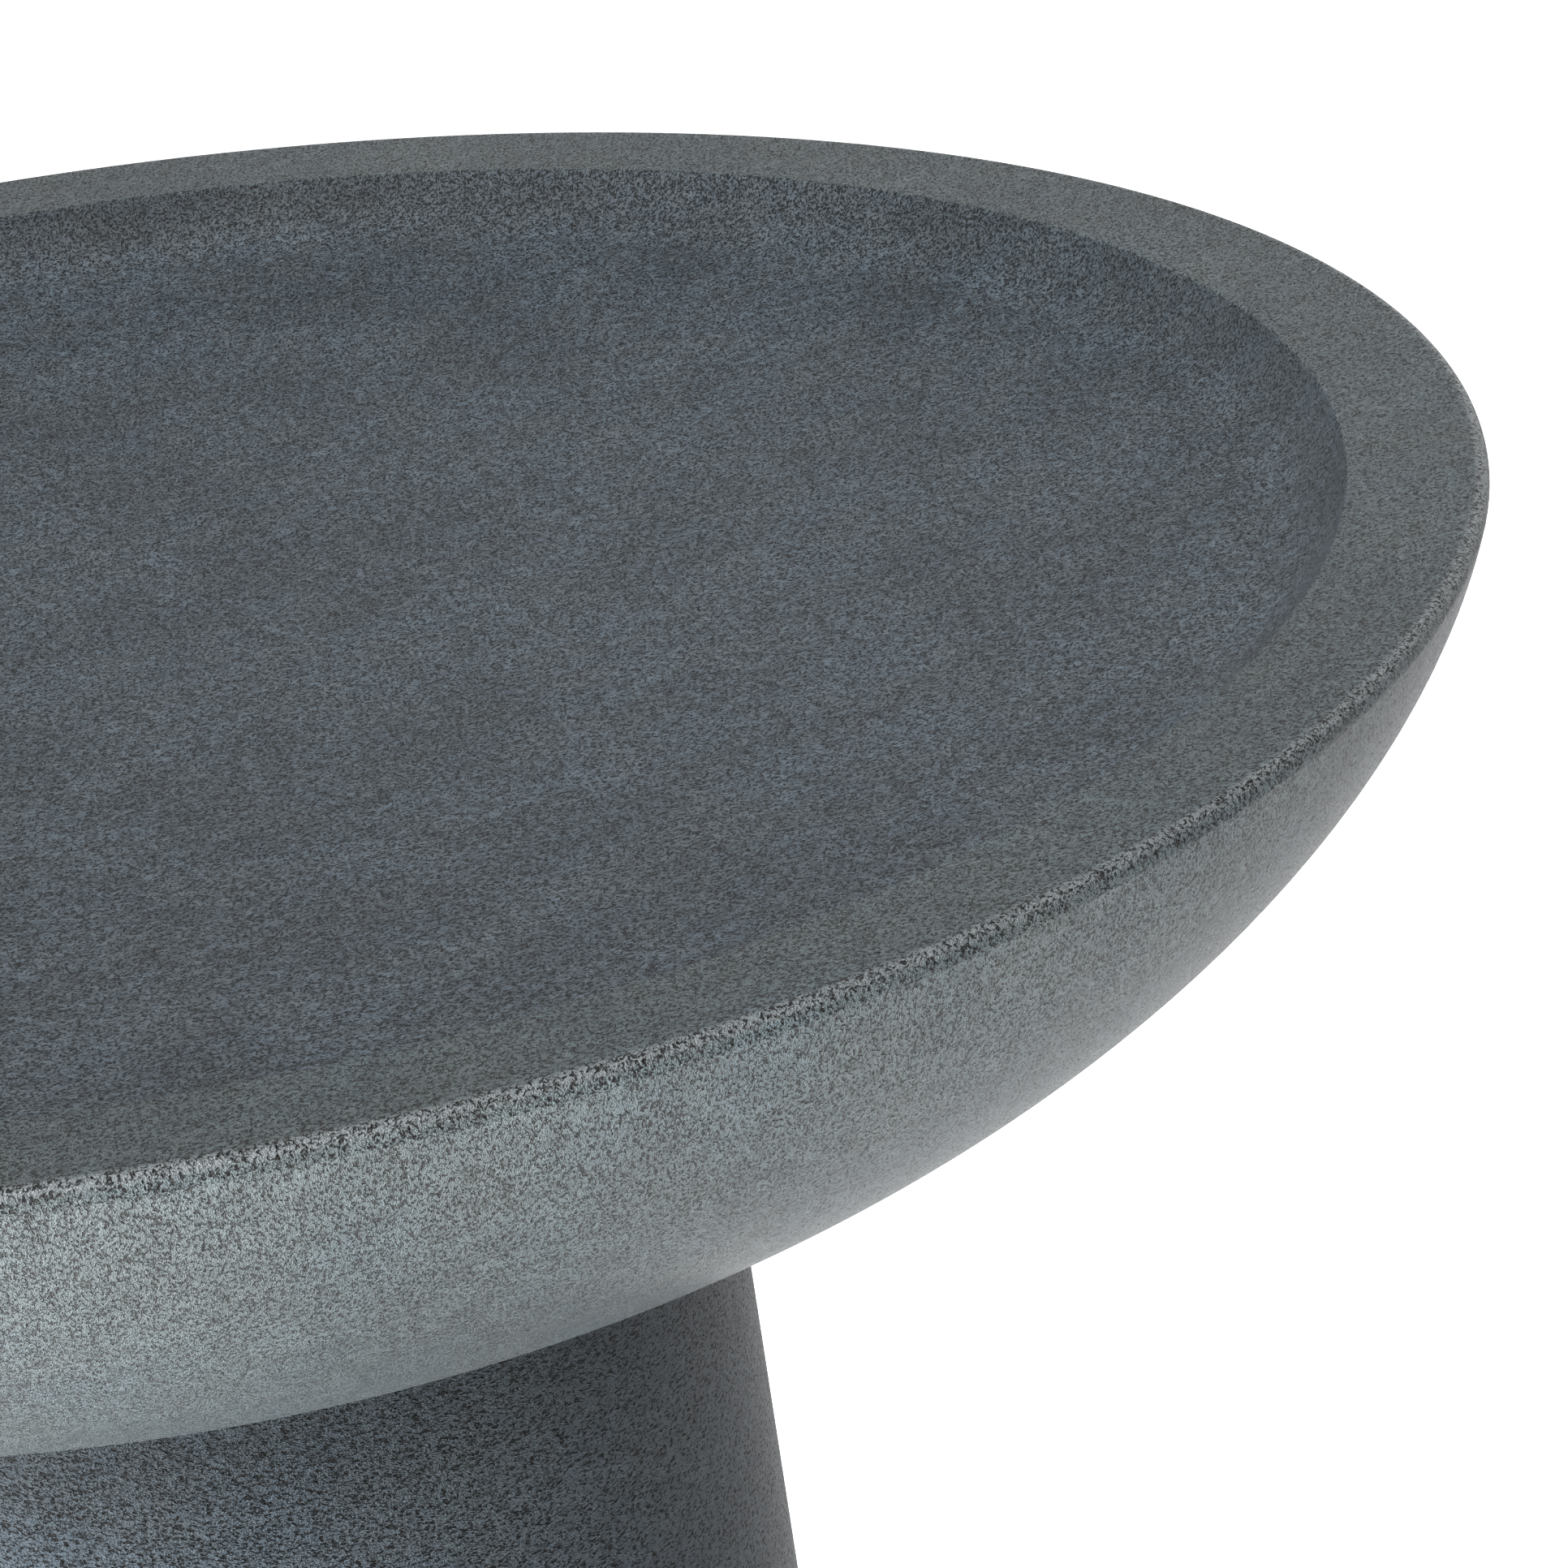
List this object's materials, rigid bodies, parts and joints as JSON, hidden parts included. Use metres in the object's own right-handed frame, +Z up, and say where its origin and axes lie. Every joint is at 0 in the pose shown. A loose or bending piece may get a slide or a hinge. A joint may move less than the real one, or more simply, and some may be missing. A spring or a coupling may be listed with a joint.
{
  "type": "bird bath",
  "caption": "Round pedestal bird bath: shallow hollow bowl with a wide flat rim, lifted off a tapered ballast pedestal with screw filler cap and drain plug.",
  "frame": {"origin": "on the axis of bowl and pedestal, in the plane that the rubber feet stand on", "axes": "+Z up along the axis; X and Y are alike apart from the four feet, which stand on the diagonals"},
  "size_m": [0.5112, 0.5112, 0.61],
  "materials": {
    "stone_finish": "satin slate-grey stone effect, fine-grained",
    "black_plastic": "moulded, lightly textured",
    "black_rubber": "matt",
    "plated_steel": "zinc plated",
    "insert_brass": "turned"
  },
  "bodies": {
    "pedestal": {"pedestal_shell": "stone_finish", "pedestal_deck": "stone_finish", "base_plate": "stone_finish", "seat_ring": "black_rubber", "filler_neck": "black_plastic", "rubber_feet": "black_rubber", "foot_screws": "plated_steel", "foot_inserts": "insert_brass"},
    "bowl": {"basin_shell": "stone_finish", "bowl_underside": "stone_finish", "bowl_foot": "stone_finish", "bowl_vent_plug": "black_plastic"},
    "cap_seal": {"filler_cap_seal": "black_rubber"},
    "cap": {"filler_cap": "black_plastic"},
    "drain_seal": {"drain_plug_seal": "black_rubber"},
    "drain_screw": {"drain_plug": "black_plastic"}
  },
  "joints": [
    {"name": "bowl_lift", "type": "slide", "parent": "pedestal", "child": "bowl", "axis": [0, 0, 1], "range_m": [0, 0.15]},
    {"name": "filler_cap_rise", "type": "slide", "parent": "pedestal", "child": "cap_seal", "axis": [0, 0, 1], "range_m": [0, 0.012]},
    {"name": "filler_cap_turn", "type": "hinge", "parent": "cap_seal", "child": "cap", "pos_m": [0, 0, 0.47], "axis": [0, 0, 1], "range_deg": [0, 1080]},
    {"name": "drain_plug_travel", "type": "slide", "parent": "pedestal", "child": "drain_seal", "axis": [0, 0, -1], "range_m": [0, 0.01]},
    {"name": "drain_plug_turn", "type": "hinge", "parent": "drain_seal", "child": "drain_screw", "pos_m": [0, 0, 0.02], "axis": [0, 0, -1], "range_deg": [0, 1800]}
  ],
  "couplings": [
    {"joint": "filler_cap_rise", "follows": "filler_cap_turn", "m_per_rad": 0.0006366},
    {"joint": "drain_plug_travel", "follows": "drain_plug_turn", "m_per_rad": 0.0003183}
  ]
}
